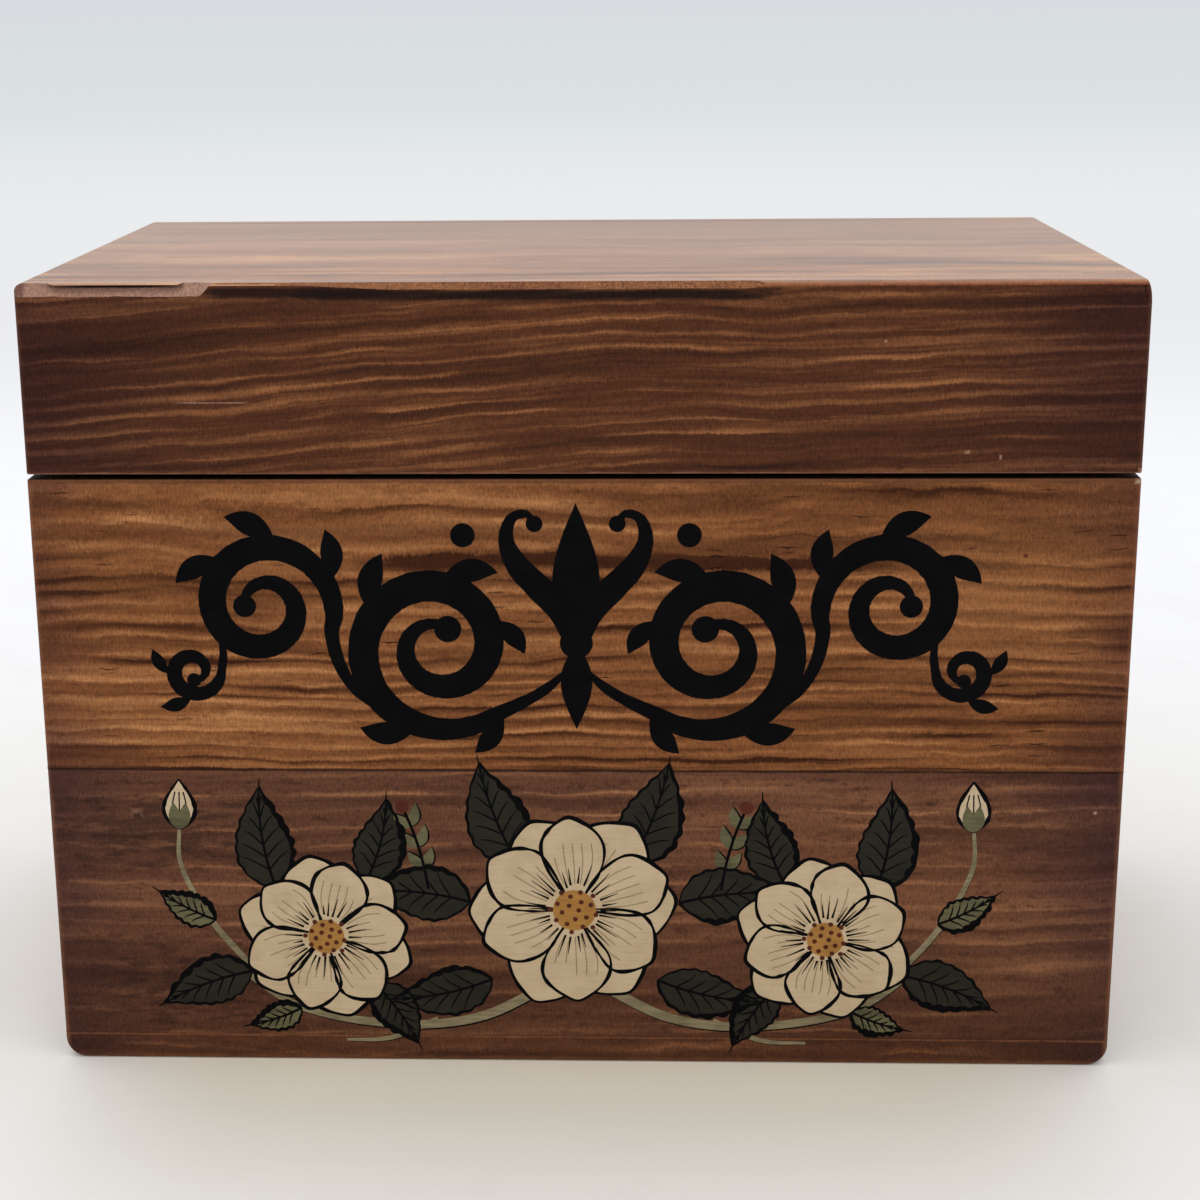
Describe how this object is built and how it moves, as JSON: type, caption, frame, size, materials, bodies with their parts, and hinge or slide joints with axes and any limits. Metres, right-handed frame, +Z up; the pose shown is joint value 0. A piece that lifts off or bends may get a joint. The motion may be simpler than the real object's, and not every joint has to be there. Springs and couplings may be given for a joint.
{
  "type": "recipe card box",
  "caption": "Small stained pine box for recipe cards, with a hinged lid, a painted floral design and a scrolled ornament on its front.",
  "frame": {"origin": "middle of the underside, between the four walls, at the height of the surface that the box stands on", "axes": "+X to the right along the front, +Y to the back, where the hinges are, +Z up"},
  "size_m": [0.1524, 0.0924, 0.1139],
  "materials": {
    "front_pine_golden": "golden brown stain under satin varnish",
    "front_pine_dark": "dark antiqued stain under satin varnish",
    "base_pine": "brown stain under satin varnish",
    "bottom_pine": "brown stain, thin varnish",
    "lid_pine": "red-brown stain under satin varnish",
    "hinge_brass": "aged, lightly tarnished",
    "screw_brass": "aged, bright in the slots",
    "brad_steel": "dull wire",
    "black_paint": "opaque black paint of the ornament and the outlines",
    "cream_paint": "cream paint of the blossoms",
    "leaf_paint": "dark olive paint of the leaves",
    "twig_paint": "grey-green paint of the twigs and the light leaves"
  },
  "bodies": {
    "base": {"bottom_board": "bottom_pine", "base_front_lower_board": "front_pine_dark", "base_front_upper_board": "front_pine_golden", "base_back_board": "base_pine", "base_left_board": "base_pine", "base_right_board": "base_pine", "bottom_brads": "brad_steel", "left_hinge_base_leaf": "hinge_brass", "left_hinge_pin": "hinge_brass", "right_hinge_base_leaf": "hinge_brass", "right_hinge_pin": "hinge_brass", "left_hinge_base_screws": "screw_brass", "right_hinge_base_screws": "screw_brass"},
    "lid": {"lid_front_board": "lid_pine", "lid_back_board": "lid_pine", "lid_left_board": "lid_pine", "lid_right_board": "lid_pine", "lid_top_board": "lid_pine", "left_hinge_lid_leaf": "hinge_brass", "right_hinge_lid_leaf": "hinge_brass", "left_hinge_lid_screws": "screw_brass", "right_hinge_lid_screws": "screw_brass"}
  },
  "joints": [
    {"name": "lid_hinge", "type": "hinge", "parent": "base", "child": "lid", "pos_m": [0, 0.04635, 0.0874], "axis": [-1, 0, 0], "range_deg": [0, 187]}
  ]
}
